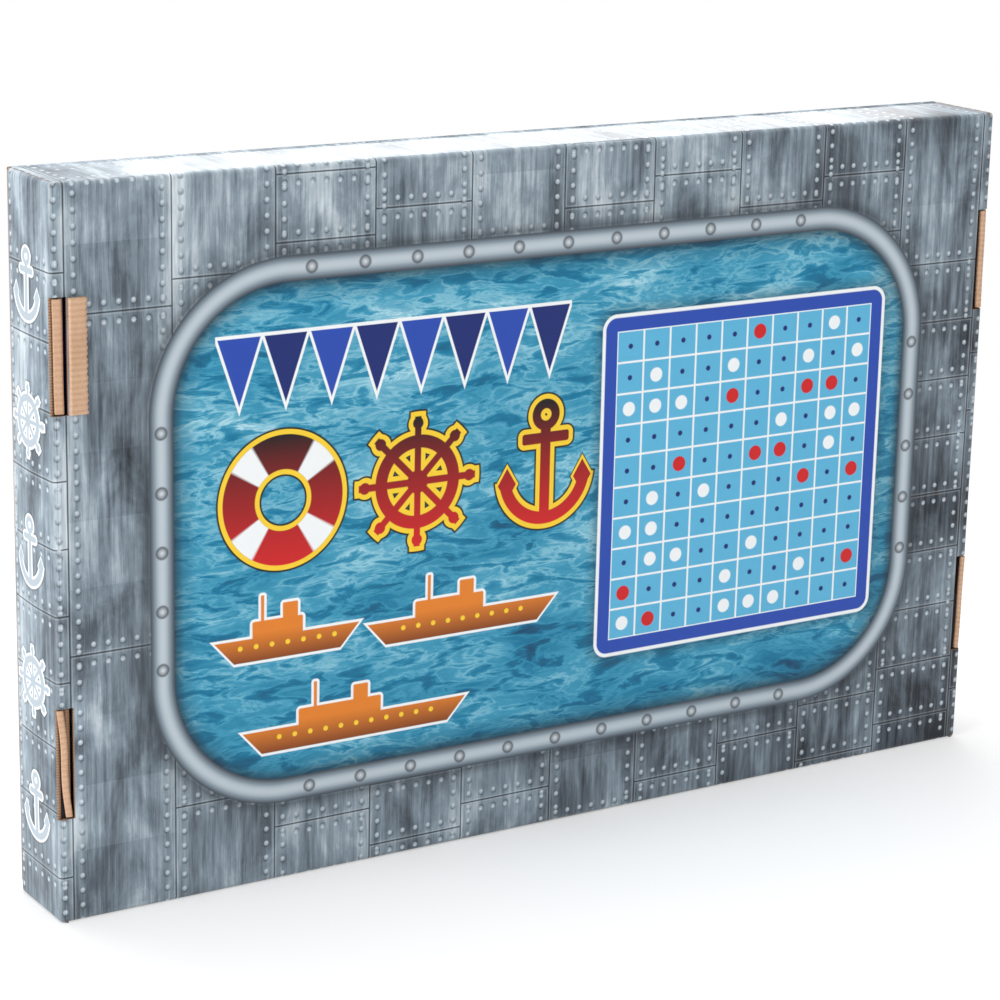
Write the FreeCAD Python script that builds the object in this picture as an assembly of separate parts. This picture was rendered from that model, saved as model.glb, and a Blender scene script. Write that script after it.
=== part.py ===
import FreeCAD
import Part
import math
import os

# A fleet guessing game: two folding plastic game cases in a roll-end carton with a tuck lid.
# The carton stands on its bottom wall. X runs along it, the base panel faces -Y, the lid faces +Y.
# All sizes are in millimetres.

# Carton
carton_width = 400.0
carton_height = 258.0
carton_depth = 36.0
board = 1.5
board_slip = 0.3
fold_radius = 1.2
slot_length = 40.0
slot_width = 5.2
slot_rim = 0.8
slot_spacing = 142.0
tab_play = 0.6
corner_flap_length = 60.0
tuck_tilt = 5.5
tuck_clear = 0.6
tuck_side_play = 1.5
tuck_corner = 8.0
slot_flap_reach = 6.2

# Game case: outline and shells
stack_gap = 0.3
side_play = 2.9
chamfer_drop = 80.0
shoulder = 10.0
hinge_corner = 6.0
outline_corner = 12.0
wall = 1.8
tray_height = 10.4
parting_gap = 0.2
deck_height = 5.0
deck = 1.8
divider = 1.6
divider_gap = 2.0
notch_width = 30.0
notch_depth = 3.0
lid_plate = 1.4
screen_plate = 1.4
screen_standoff = 2.0
screen_rim = 2.0
card = 0.5
card_margin = 2.5

# Game case: hinge
hinge_room = 8.2
hinge_station = 110.0
knuckle_radius = 2.4
knuckle_clear = 0.5
knuckle_length = 9.0
knuckle_gap = 0.4
hinge_pin_radius = 1.2
hinge_pin_clear = 0.1

# Field, pegs and ships
field_cells = 10
field_margin = 14.6
hole_radius = 1.35
stem_clear = 0.15
stem_length = 4.4
peg_head_radius = 2.1
peg_head_height = 2.4
peg_dome = 0.9
rack_columns = 5
rack_rows = 20
rack_margin = 10.0
red_rows = 8
ship_gap = 3.0
ship_beam = 8.0
hull_height = 2.4
ship_bow = 6.0
sub_radius = 2.2

# Places in the carton that several pieces share
half_width = carton_width / 2
flap_stand = board + board_slip
base_y = (flap_stand - carton_depth) / 2
base_in_y = base_y + board
lid_y = base_y + carton_depth - board
rim_y = lid_y - board_slip
end_stack = 3 * board + 2 * board_slip
fold_y = lid_y + board / 2
lid_fold_z = carton_height - board / 2
tuck_fold_z = board + board_slip + board / 2
slot_end_x = half_width - slot_rim - slot_width

# The two cases fill the carton's depth, and the tuck flap ends just short of the lower one
case_height = (carton_depth - 2 * board - 3 * stack_gap) / 2
lower_foot_y = base_in_y + stack_gap
upper_foot_y = lower_foot_y + case_height + stack_gap
tilt = math.radians(tuck_tilt)
tuck_length = (fold_y - lower_foot_y - case_height - tuck_clear) / math.cos(tilt)
tuck_top_z = tuck_fold_z + tuck_length * math.sin(tilt) + board / 2 * math.cos(tilt)

# Length and width of a closed case, set by the room between the carton's walls
hinge_offset = knuckle_radius + knuckle_clear
upper_front_z = tuck_top_z + board_slip
upper_back_z = carton_height - board - hinge_room - hinge_offset
case_length = upper_back_z - upper_front_z
lower_back_z = board + board_slip + case_length
case_half = half_width - end_stack - side_play

# Sizes of the field and of what stands on it
cell = (case_length - 2 * field_margin) / (field_cells + 1)
screen_half = (field_cells + 1) * cell / 2
divider_x = screen_half + divider_gap
front_half = divider_x + divider + shoulder
side_length = case_length - chamfer_drop
lid_foot = tray_height + parting_gap
hinge_z = tray_height + parting_gap / 2
screen_top = case_height - lid_plate
screen_foot = screen_top - screen_standoff - screen_plate
stem_radius = hole_radius - stem_clear


def box(x0, x1, y0, y1, z0, z1):
    return Part.makeBox(x1 - x0, y1 - y0, z1 - z0, FreeCAD.Vector(x0, y0, z0))


def rod_x(radius, x0, x1, y, z):
    return Part.makeCylinder(radius, x1 - x0, FreeCAD.Vector(x0, y, z), FreeCAD.Vector(1, 0, 0))


def rod_z(radius, x, y, z0, z1):
    return Part.makeCylinder(radius, z1 - z0, FreeCAD.Vector(x, y, z0))


def mirrored(shape):
    return shape.mirror(FreeCAD.Vector(0, 0, 0), FreeCAD.Vector(1, 0, 0))


def join(first, *others):
    return first.fuse(list(others)).removeSplitter()


def rounded_wire(points, radii, z):
    # A closed polygon whose corners are arcs tangent to both of their sides.
    corners = [FreeCAD.Vector(x, y, z) for x, y in points]
    edges = []
    starts = []
    ends = []
    for index, corner in enumerate(corners):
        back = (corners[index - 1] - corner).normalize()
        ahead = (corners[(index + 1) % len(corners)] - corner).normalize()
        half_angle = back.getAngle(ahead) / 2
        reach = radii[index] / math.tan(half_angle)
        centre = corner + (back + ahead).normalize() * (radii[index] / math.sin(half_angle))
        middle = centre + (corner - centre).normalize() * radii[index]
        starts.append(corner + back * reach)
        ends.append(corner + ahead * reach)
        edges.append(Part.Arc(starts[-1], middle, ends[-1]).toShape())
    for index in range(len(corners)):
        following = (index + 1) % len(corners)
        edges.append(Part.makeLine(ends[index], starts[following]))
    return Part.Wire(Part.__sortEdges__(edges))


def inset(points, distance):
    # A convex polygon, drawn counter-clockwise, with every side moved inward.
    moved = []
    count = len(points)
    for index in range(count):
        (ax, ay), (bx, by), (cx, cy) = points[index - 1], points[index], points[(index + 1) % count]
        first = FreeCAD.Vector(bx - ax, by - ay, 0).normalize()
        second = FreeCAD.Vector(cx - bx, cy - by, 0).normalize()
        turn = first.x * second.y - first.y * second.x
        along = distance * (1 - first.dot(second)) / turn
        moved.append((bx - first.y * distance - first.x * along, by + first.x * distance - first.y * along))
    return moved


def prism(wires, height):
    return Part.makeFace(wires, "Part::FaceMakerBullseye").extrude(FreeCAD.Vector(0, 0, height))


def circles(centres, radius, z):
    return [Part.Wire(Part.makeCircle(radius, FreeCAD.Vector(x, y, z))) for x, y in centres]


# Carton

def slot_centres():
    return [carton_height / 2 - slot_spacing / 2, carton_height / 2 + slot_spacing / 2]


def base_panel():
    panel = box(-half_width, half_width, base_y, base_in_y, 0, carton_height)
    outer = [edge for edge in panel.Edges if abs(edge.BoundBox.YMax - base_y) < 0.01]
    panel = panel.makeFillet(fold_radius, outer)
    slots = []
    for middle in slot_centres():
        slot = box(slot_end_x, half_width - slot_rim, base_y - board, base_in_y + board,
                   middle - slot_length / 2, middle + slot_length / 2)
        slots += [slot, mirrored(slot)]
    return panel.cut(slots)


def long_wall(z0, back_y):
    reach = half_width - board - board_slip
    return box(-reach, reach, base_in_y, back_y, z0, z0 + board)


def outer_end():
    return box(half_width - board, half_width, base_in_y, rim_y - board, 0, carton_height)


def inner_end():
    # The web, the strip that rolls over the rim, and the tabs that lock into the base panel's slots.
    web_x = half_width - end_stack
    low = board + board_slip
    high = carton_height - low
    web = box(web_x, web_x + board, base_in_y + board_slip, rim_y, low, high)
    strip = box(web_x, half_width, rim_y - board, rim_y, low, high)
    outer = [edge for edge in strip.Edges
             if edge.BoundBox.YMin > rim_y - 0.01 and edge.BoundBox.XMin > half_width - 0.01]
    strip = strip.makeFillet(fold_radius, outer)
    tabs = []
    for middle in slot_centres():
        reach = slot_length / 2 - tab_play
        tabs.append(box(web_x, web_x + board, base_y + board_slip, base_in_y + 2 * board_slip,
                        middle - reach, middle + reach))
    return join(web, strip, *tabs)


def corner_flap(z0):
    outer_x = half_width - board - board_slip
    return box(outer_x - board, outer_x, base_in_y + board_slip, rim_y - board - board_slip,
               z0, z0 + corner_flap_length)


def carton_lid():
    # The top edge is the round of the fold that the lid turns on.
    reach = half_width - board_slip
    panel = box(-reach, reach, lid_y, lid_y + board, tuck_fold_z + board / 2 + board_slip, lid_fold_z)
    return join(panel, rod_x(board / 2, -reach, reach, fold_y, lid_fold_z))


def tuck_flap():
    reach = half_width - end_stack - tuck_side_play
    outline = [(-reach, -tuck_length), (reach, -tuck_length), (reach, 0), (-reach, 0)]
    radii = [tuck_corner, tuck_corner, fold_radius, fold_radius]
    flap = prism([rounded_wire(outline, radii, -board / 2)], board)
    flap = join(flap, rod_x(board / 2, -reach, reach, 0, 0))
    flap.rotate(FreeCAD.Vector(0, 0, 0), FreeCAD.Vector(1, 0, 0), -tuck_tilt)
    flap.translate(FreeCAD.Vector(0, fold_y, tuck_fold_z))
    return flap


def slot_flap():
    # The flap punched out of the upper left slot lies folded back on the base panel.
    middle = slot_centres()[1]
    low = middle - slot_length / 2 + board_slip
    high = middle + slot_length / 2 - board_slip
    back = base_y - board_slip
    fold_x = board / 2 - slot_end_x
    leaf = box(fold_x, slot_flap_reach - slot_end_x, back - board, back, low, high)
    return join(leaf, rod_z(board / 2, fold_x, back - board / 2, low, high))


# Game case, lying flat: its hinge edge on y = 0, its front at y = case_length, its foot on z = 0

def case_outline():
    points = [(-case_half, 0), (case_half, 0), (case_half, side_length),
              (front_half, case_length), (-front_half, case_length), (-case_half, side_length)]
    radii = [hinge_corner, hinge_corner] + 4 * [outline_corner]
    return points, radii


def case_ring(z0, z1):
    points, radii = case_outline()
    inner = rounded_wire(inset(points, wall), [radius - wall for radius in radii], z0)
    return prism([rounded_wire(points, radii, z0), inner], z1 - z0)


def case_plate(z0, z1, centres):
    # A plate let into the ring to half its wall, with a hole at each centre.
    points, radii = case_outline()
    outer = rounded_wire(inset(points, wall / 2), [radius - wall / 2 for radius in radii], z0)
    return prism([outer] + circles(centres, hole_radius, z0), z1 - z0)


def field_centre(column, row):
    middle = (field_cells - 1) / 2
    return (column - middle) * cell, case_length / 2 + (row - middle) * cell


def field_centres():
    return [field_centre(column, row) for column in range(field_cells) for row in range(field_cells)]


def rack_centres(side):
    # Rows run from the hinge edge to the chamfer, columns from the divider to the end wall.
    inner_x = divider_x + divider + rack_margin
    outer_x = case_half - wall - rack_margin
    first_y = wall + rack_margin
    last_y = side_length - rack_margin
    column_step = (outer_x - inner_x) / (rack_columns - 1)
    row_step = (last_y - first_y) / (rack_rows - 1)
    return [(side * (inner_x + column * column_step), first_y + row * row_step)
            for row in range(rack_rows) for column in range(rack_columns)]


def knuckles(x0, x1, z0, z1):
    # A hinge barrel with the web that carries it on the shell's back wall, at both stations.
    pieces = []
    for side in (-1, 1):
        low = min(side * x0, side * x1)
        high = max(side * x0, side * x1)
        pieces.append(rod_x(knuckle_radius, low, high, -hinge_offset, hinge_z))
        pieces.append(box(low, high, -hinge_offset, wall / 2, z0, z1))
    return pieces


def hinge_bores():
    reach = 2 * knuckle_length
    radius = hinge_pin_radius + hinge_pin_clear
    return [rod_x(radius, side * hinge_station - reach, side * hinge_station + reach, -hinge_offset, hinge_z)
            for side in (-1, 1)]


def tray():
    ring = case_ring(0, tray_height)
    floor = case_plate(deck_height - deck, deck_height, field_centres() + rack_centres(-1) + rack_centres(1))
    right = box(divider_x, divider_x + divider, wall / 2, case_length - wall / 2,
                deck_height - deck / 2, tray_height)
    inner = hinge_station - knuckle_length / 2 - knuckle_gap
    outer = hinge_station + knuckle_length / 2 + knuckle_gap
    barrels = knuckles(inner - knuckle_length, inner, hinge_z - knuckle_radius, tray_height)
    barrels += knuckles(outer, outer + knuckle_length, hinge_z - knuckle_radius, tray_height)
    notch = box(-notch_width / 2, notch_width / 2, case_length - 2 * wall, case_length + wall,
                tray_height - notch_depth, tray_height + wall)
    return join(ring, floor, right, mirrored(right), *barrels).cut([notch] + hinge_bores())


def screen_lid():
    ring = case_ring(lid_foot, case_height)
    plate = case_plate(case_height - lid_plate, case_height, [])
    barrels = knuckles(hinge_station - knuckle_length / 2, hinge_station + knuckle_length / 2,
                       lid_foot, hinge_z + knuckle_radius)
    return join(ring, plate, *barrels).cut(hinge_bores())


def screen_panel():
    # The panel stands off the lid on its rim, so that pegs can be pushed into it.
    middle = case_length / 2
    square = [(-screen_half, middle - screen_half), (screen_half, middle - screen_half),
              (screen_half, middle + screen_half), (-screen_half, middle + screen_half)]
    centres = [(x - cell / 2, y - cell / 2) for x, y in field_centres()]
    radii = 4 * [screen_rim]
    outer = rounded_wire(square, radii, screen_foot)
    plate = prism([outer] + circles(centres, hole_radius, screen_foot), screen_plate)
    rim_foot = screen_foot + screen_plate
    inner = rounded_wire(inset(square, screen_rim), [screen_rim / 4] * 4, rim_foot)
    rim = prism([rounded_wire(square, radii, rim_foot), inner], screen_standoff)
    return join(plate, rim)


def side_card(side):
    points, radii = case_outline()
    foot = screen_top - card
    sheet = prism([rounded_wire(inset(points, wall + card_margin), [wall] * 6, foot)], card)
    reach = case_half + wall
    keep = box(divider_x, reach, -wall, case_length + wall, foot - wall, screen_top + wall)
    if side < 0:
        keep = mirrored(keep)
    return sheet.common(keep)


def hinge_pins():
    reach = 1.5 * knuckle_length + knuckle_gap
    return Part.makeCompound([
        rod_x(hinge_pin_radius, side * hinge_station - reach, side * hinge_station + reach,
              -hinge_offset, hinge_z) for side in (-1, 1)])


# Pegs

def peg():
    # A turned profile: pointed stem below the deck's top, domed head above it.
    tip = stem_radius / 2
    dome = FreeCAD.Vector(peg_head_radius - peg_dome * (1 - math.sqrt(0.5)), 0,
                          peg_head_height - peg_dome * (1 - math.sqrt(0.5)))
    points = [FreeCAD.Vector(0, 0, -stem_length), FreeCAD.Vector(tip, 0, -stem_length),
              FreeCAD.Vector(stem_radius, 0, tip - stem_length), FreeCAD.Vector(stem_radius, 0, 0),
              FreeCAD.Vector(peg_head_radius, 0, 0), FreeCAD.Vector(peg_head_radius, 0, peg_head_height - peg_dome)]
    top = FreeCAD.Vector(peg_head_radius - peg_dome, 0, peg_head_height)
    axis_top = FreeCAD.Vector(0, 0, peg_head_height)
    edges = [Part.makeLine(a, b) for a, b in zip(points, points[1:])]
    edges.append(Part.Arc(points[-1], dome, top).toShape())
    edges.append(Part.makeLine(top, axis_top))
    edges.append(Part.makeLine(axis_top, points[0]))
    profile = Part.Face(Part.Wire(edges))
    return profile.revolve(FreeCAD.Vector(0, 0, 0), FreeCAD.Vector(0, 0, 1), 360)


def peg_group(centres):
    model = peg()
    copies = []
    for x, y in centres:
        copy = model.copy()
        copy.translate(FreeCAD.Vector(x, y, deck_height))
        copies.append(copy)
    return Part.makeCompound(copies)


# Ships, each with its stern at -x, its hull's foot on z = 0 and one pin per cell

def ship_length(cells):
    return cells * cell - ship_gap


def hull(length, beam, height):
    # Square stern with rounded quarters, straight sides, and a bow of two arcs.
    half = beam / 2
    stern = -length / 2
    tip = length / 2
    quarter = half / 2
    shoulder_x = tip - ship_bow
    bulge_x = tip - ship_bow * 0.4
    diagonal = quarter * (1 - math.sqrt(0.5))
    edges = []
    for side in (1, -1):
        corner = FreeCAD.Vector(stern, side * (half - quarter), 0)
        bend = FreeCAD.Vector(stern + diagonal, side * (half - diagonal), 0)
        flank = FreeCAD.Vector(stern + quarter, side * half, 0)
        bow = FreeCAD.Vector(shoulder_x, side * half, 0)
        edges.append(Part.Arc(corner, bend, flank).toShape())
        edges.append(Part.makeLine(flank, bow))
        edges.append(Part.Arc(bow, FreeCAD.Vector(bulge_x, side * half * 0.6, 0),
                              FreeCAD.Vector(tip, 0, 0)).toShape())
    edges.append(Part.makeLine(FreeCAD.Vector(stern, quarter - half, 0),
                               FreeCAD.Vector(stern, half - quarter, 0)))
    return prism([Part.Wire(Part.__sortEdges__(edges))], height)


def ship_pins(cells, top):
    first = -(cells - 1) / 2 * cell
    return [rod_z(stem_radius, first + index * cell, 0, -stem_length, top) for index in range(cells)]


def block(x, length, width, height):
    # A deckhouse on the hull, sunk a little into it.
    foot = hull_height - 0.4
    return box(x - length / 2, x + length / 2, -width / 2, width / 2, foot, foot + height)


def turret(x, facing):
    foot = hull_height - 0.4
    drum = rod_z(1.5, x, 0, foot, foot + 1.7)
    barrel_end = x + facing * 4.0
    barrel = box(min(x, barrel_end), max(x, barrel_end), -0.4, 0.4, foot + 0.8, foot + 1.5)
    return [drum, barrel]


def carrier():
    length = ship_length(4)
    body = hull(length, ship_beam, hull_height)
    deck_plate = box(-length / 2, length / 2 - ship_bow / 2, -ship_beam / 2 - 1, ship_beam / 2 + 1,
                     hull_height - 0.4, hull_height + 0.8)
    corners = [edge for edge in deck_plate.Edges if edge.BoundBox.ZLength > 1 and edge.BoundBox.XLength < 0.01]
    deck_plate = deck_plate.makeFillet(2.0, corners)
    island = box(2, 12, -ship_beam / 2 - 0.6, -ship_beam / 2 + 2, hull_height, hull_height + 2.3)
    mast = rod_z(0.7, 7, 1.0 - ship_beam / 2, hull_height, hull_height + 3.1)
    return join(body, deck_plate, island, mast, *ship_pins(4, hull_height / 2))


def cruiser():
    body = hull(ship_length(3), ship_beam, hull_height)
    pieces = [block(0, 16, 5, 1.6), block(4, 5, 3.6, 3.2), rod_z(1.2, -4, 0, hull_height, hull_height + 2.6)]
    pieces += turret(13, 1) + turret(-13, -1) + turret(-18, -1)
    return join(body, *pieces, *ship_pins(3, hull_height / 2))


def submarine():
    reach = ship_length(3) / 2 - sub_radius
    body = rod_x(sub_radius, -reach, reach, 0, sub_radius)
    ends = [Part.makeSphere(sub_radius, FreeCAD.Vector(side * reach, 0, sub_radius)) for side in (-1, 1)]
    tower = box(1, 9, -1.2, 1.2, sub_radius, 2 * sub_radius + 0.8)
    fin = box(-reach, 3 - reach, -ship_beam / 2, ship_beam / 2, sub_radius - 0.4, sub_radius + 0.4)
    return join(body, *ends, tower, fin, *ship_pins(3, sub_radius / 2))


def destroyer():
    body = hull(ship_length(2), ship_beam - 1, hull_height)
    pieces = [block(2, 7, 4, 2.6), rod_z(1.0, -4, 0, hull_height / 2, hull_height + 2.4)]
    return join(body, *pieces, *turret(-9, -1), *ship_pins(2, hull_height / 2))


def torpedo_boat():
    body = hull(ship_length(1), ship_beam - 1.6, hull_height)
    tubes = [rod_x(0.6, -6, -1, side * 1.8, hull_height + 0.3) for side in (-1, 1)]
    return join(body, block(1, 4, 3, 2.4), *tubes, *ship_pins(1, hull_height / 2))


def on_field(ship, cells, column, row):
    first_x, y = field_centre(column, row)
    ship.translate(FreeCAD.Vector(first_x + (cells - 1) / 2 * cell, y, deck_height))
    return ship


def fleet():
    ships = {
        "carrier": on_field(carrier(), 4, 0, 0),
        "cruiser": on_field(cruiser(), 3, 0, 2),
        "submarine": on_field(submarine(), 3, 4, 2),
    }
    for number, (column, row) in enumerate([(7, 0), (0, 4), (3, 4)], 1):
        ships["destroyer_%d" % number] = on_field(destroyer(), 2, column, row)
    for number, (column, row) in enumerate([(5, 0), (8, 2), (6, 4), (8, 4)], 1):
        ships["torpedo_boat_%d" % number] = on_field(torpedo_boat(), 1, column, row)
    return ships


def game_case():
    # The right rack's last rows hold the red pegs, every other hole a white one.
    right_rack = rack_centres(1)
    white_count = len(right_rack) - red_rows * rack_columns
    pieces = {
        "tray": tray(),
        "screen_lid": screen_lid(),
        "screen_panel": screen_panel(),
        "left_card": side_card(-1),
        "right_card": side_card(1),
        "hinge_pins": hinge_pins(),
        "white_pegs": peg_group(rack_centres(-1) + right_rack[:white_count]),
        "red_pegs": peg_group(right_rack[white_count:]),
    }
    pieces.update(fleet())
    return pieces


def stood_up(shape, foot_y, back_z):
    # Stands a flat-lying piece on its front edge, with the case's foot towards the base panel.
    placed = shape.copy()
    placed.rotate(FreeCAD.Vector(0, 0, 0), FreeCAD.Vector(1, 0, 0), -90)
    placed.translate(FreeCAD.Vector(0, foot_y, back_z))
    return placed


def carton_nodes():
    top_flap = corner_flap(carton_height - board - corner_flap_length)
    bottom_flap = corner_flap(board)
    return {
        "base_panel": base_panel(),
        "top_wall": long_wall(carton_height - board, lid_y - board_slip),
        "bottom_wall": long_wall(0, lid_y + board),
        "right_outer_end": outer_end(),
        "left_outer_end": mirrored(outer_end()),
        "right_inner_end": inner_end(),
        "left_inner_end": mirrored(inner_end()),
        "top_right_corner_flap": top_flap,
        "top_left_corner_flap": mirrored(top_flap),
        "bottom_right_corner_flap": bottom_flap,
        "bottom_left_corner_flap": mirrored(bottom_flap),
        "carton_lid": carton_lid(),
        "tuck_flap": tuck_flap(),
        "slot_flap": slot_flap(),
    }


nodes = carton_nodes()
for piece_name, piece in game_case().items():
    nodes["lower_" + piece_name] = stood_up(piece, lower_foot_y, lower_back_z)
    nodes["upper_" + piece_name] = stood_up(piece, upper_foot_y, upper_back_z)

os.makedirs("parts", exist_ok=True)
for node_name, shape in nodes.items():
    shape.exportStep("parts/%s.step" % node_name)
print(len(nodes), "nodes, case", round(2 * case_half, 2), "x", round(case_length, 2), "x", round(case_height, 2))
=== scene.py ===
import bmesh
import bpy
import numpy as np
from mathutils import Matrix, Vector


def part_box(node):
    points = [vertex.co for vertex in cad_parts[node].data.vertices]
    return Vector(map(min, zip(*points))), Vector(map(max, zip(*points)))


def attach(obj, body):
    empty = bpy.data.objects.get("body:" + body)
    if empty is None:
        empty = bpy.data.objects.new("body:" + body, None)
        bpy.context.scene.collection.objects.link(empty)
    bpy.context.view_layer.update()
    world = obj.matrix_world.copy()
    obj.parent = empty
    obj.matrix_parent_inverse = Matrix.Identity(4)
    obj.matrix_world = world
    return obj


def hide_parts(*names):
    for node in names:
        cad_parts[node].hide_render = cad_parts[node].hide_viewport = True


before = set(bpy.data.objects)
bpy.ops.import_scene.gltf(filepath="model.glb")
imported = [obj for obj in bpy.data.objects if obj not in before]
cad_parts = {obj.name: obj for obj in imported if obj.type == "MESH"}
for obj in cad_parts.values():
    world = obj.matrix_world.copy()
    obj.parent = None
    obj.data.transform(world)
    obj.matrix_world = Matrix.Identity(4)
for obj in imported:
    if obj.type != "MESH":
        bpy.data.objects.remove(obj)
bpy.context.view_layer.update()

scene = bpy.context.scene
scene.view_settings.view_transform = "Standard"
print("frame loaded")


# camera, at the viewing angle of a photograph of 1000 by 1000 pixels

cameraView = {
    "place": (-0.5945, -0.9174, 0.4211),
    "azimuth": -32.33,          # degrees, 0 looks along +Y
    "elevation": 15.30,
    "roll": 1.27,
    "focalPixels": 3038.0,
    "framePixels": 1000,
    "sensor": 36.0,             # mm
    "clipEnd": 50.0,            # m
}


def stand(thing, right, up, back, place):
    # puts an object at a place, with its own axes along right, up and back
    matrix = np.eye(4)
    matrix[:3] = np.stack([right, up, back, place], axis=-1)
    thing.matrix_world = Matrix(matrix.tolist())


def addCamera(view):
    azimuth, elevation, roll = np.radians([view["azimuth"], view["elevation"], view["roll"]])
    back = np.array([np.sin(azimuth) * np.cos(elevation),
                     -np.cos(azimuth) * np.cos(elevation),
                     np.sin(elevation)])
    right = np.cross(-back, [0, 0, 1])
    right /= np.linalg.norm(right)
    up = np.cross(right, -back)
    turnedRight = np.cos(roll) * right + np.sin(roll) * up
    turnedUp = np.cos(roll) * up - np.sin(roll) * right
    data = bpy.data.cameras.new("camera")
    data.sensor_width = view["sensor"]
    data.lens = view["focalPixels"] / view["framePixels"] * view["sensor"]
    data.clip_end = view["clipEnd"]
    camera = bpy.data.objects.new("camera", data)
    scene.collection.objects.link(camera)
    stand(camera, turnedRight, turnedUp, back, view["place"])
    scene.camera = camera


addCamera(cameraView)
print("camera placed")


# shader maths: Ink wraps a socket, and an expression on inks adds its Math nodes

def linear(*srgb):
    # sRGB bytes to the linear colour that a socket holds
    part = np.array(srgb) / 255.0
    return tuple(np.where(part <= 0.04045, part / 12.92, ((part + 0.055) / 1.055) ** 2.4)) + (1.0,)


def mathStep(operation, swapped=False):
    def step(self, other):
        return self.paint.math(operation, *((other, self) if swapped else (self, other)))
    return step


class Ink:
    def __init__(self, paint, socket):
        self.paint = paint
        self.socket = socket

    def __neg__(self):
        return self.paint.math("MULTIPLY", self, -1.0)

    def __abs__(self):
        return self.paint.math("ABSOLUTE", self)

    __add__, __radd__ = mathStep("ADD"), mathStep("ADD", True)
    __sub__, __rsub__ = mathStep("SUBTRACT"), mathStep("SUBTRACT", True)
    __mul__, __rmul__ = mathStep("MULTIPLY"), mathStep("MULTIPLY", True)
    __truediv__ = mathStep("DIVIDE")


class Paint:
    # one material: a Principled shader and the nodes that feed it

    def __init__(self, name):
        self.material = bpy.data.materials.new(name)
        self.material.use_nodes = True
        self.nodes = self.material.node_tree.nodes
        self.links = self.material.node_tree.links
        self.shader = self.nodes["Principled BSDF"]

    def node(self, kind, settings, values):
        made = self.nodes.new(kind)
        for key, setting in settings.items():
            setattr(made, key, setting)
        for key, value in values.items():
            self.feed(made.inputs[key], value)
        return made

    def feed(self, socket, value):
        if isinstance(value, Ink):
            self.links.new(value.socket, socket)
        elif isinstance(value, bpy.types.NodeSocket):
            self.links.new(value, socket)
        else:
            socket.default_value = value

    def math(self, operation, *values):
        made = self.node("ShaderNodeMath", {"operation": operation}, dict(enumerate(values)))
        return Ink(self, made.outputs[0])

    def low(self, first, second):
        return self.math("MINIMUM", first, second)

    def high(self, first, second):
        return self.math("MAXIMUM", first, second)

    def clip(self, value):
        return Ink(self, self.node("ShaderNodeClamp", {}, {0: value}).outputs[0])

    def inside(self, distance, soft=0.25):
        # 1 where a signed distance in mm is negative, with a soft edge
        return self.clip(0.5 - distance / soft)

    def wrap(self, value, step):
        # place within a repeat, from -step/2 to step/2
        return self.math("WRAP", value, step / 2, -step / 2)

    def length(self, first, second):
        return self.math("SQRT", first * first + second * second)

    def vector(self, x, y, z=0.0):
        return self.node("ShaderNodeCombineXYZ", {}, {0: x, 1: y, 2: z}).outputs[0]

    def noise(self, vector, detail=2.0, rough=0.5, warp=0.0):
        made = self.node("ShaderNodeTexNoise", {}, {
            "Vector": vector, "Scale": 1.0, "Detail": detail, "Roughness": rough, "Distortion": warp})
        return Ink(self, made.outputs["Fac"])

    def chance(self, x, y):
        # one even random number for each whole-number cell
        made = self.node("ShaderNodeTexWhiteNoise", {"noise_dimensions": "2D"}, {"Vector": self.vector(x, y)})
        return Ink(self, made.outputs["Value"])

    def ramp(self, value, stops):
        made = self.node("ShaderNodeValToRGB", {}, {0: value})
        elements = made.color_ramp.elements
        for place, colour in stops[2:]:
            elements.new(place)
        for element, (place, colour) in zip(elements, sorted(stops)):
            element.position = place
            element.color = colour
        return made.outputs[0]

    def mix(self, first, second, mask):
        made = self.node("ShaderNodeMix", {"data_type": "RGBA"}, {0: mask, 6: first, 7: second})
        return made.outputs[2]

    def lay(self, colour, tone, mask):
        # puts one of the tones over a colour, for print and for painted shade
        return self.mix(colour, printTones[tone], mask)

    def place(self):
        # a sheet's place on the flat blank, in mm
        made = self.node("ShaderNodeUVMap", {"uv_map": "blank"}, {})
        parts = self.node("ShaderNodeSeparateXYZ", {}, {0: made.outputs[0]})
        return Ink(self, parts.outputs[0]) * 1000, Ink(self, parts.outputs[1]) * 1000

    def spot(self):
        # Object coordinates, in mm
        made = self.node("ShaderNodeTexCoord", {}, {})
        parts = self.node("ShaderNodeSeparateXYZ", {}, {0: made.outputs["Object"]})
        return [Ink(self, parts.outputs[axis]) * 1000 for axis in range(3)]

    def bump(self, height, strength):
        # height in mm
        made = self.node("ShaderNodeBump", {}, {"Strength": strength, "Distance": 0.001, "Height": height})
        self.feed(self.shader.inputs["Normal"], made.outputs[0])

    def set(self, **values):
        for key, value in values.items():
            self.feed(self.shader.inputs[key.replace("_", " ")], value)


# studio: pale floor, white surroundings for the camera and for reflections, soft lamps

studio = {
    "ambient": 0.45,
    "floor": (0.93, 0.93, 0.93, 1.0),
    "floorSize": 12.0,
    "glow": (0.6, 350.0, 900.0),    # white near the object, mm to where it grows, mm until it is full
    "lamps": [
        # name, place, aim, size in m, watts
        ("leftSoftbox", (-1.7, -0.3, 0.8), (-0.1, 0.0, 0.12), 1.2, 21.0),
        ("frontSoftbox", (0.1, -2.2, 1.5), (0.0, 0.0, 0.1), 1.6, 10.0),
        ("topSoftbox", (0.0, 0.5, 1.7), (0.0, 0.0, 0.2), 1.4, 28.0),
        ("backSoftbox", (1.4, 2.2, 0.9), (0.0, 0.0, 0.25), 1.0, 7.5),
    ],
}


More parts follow.
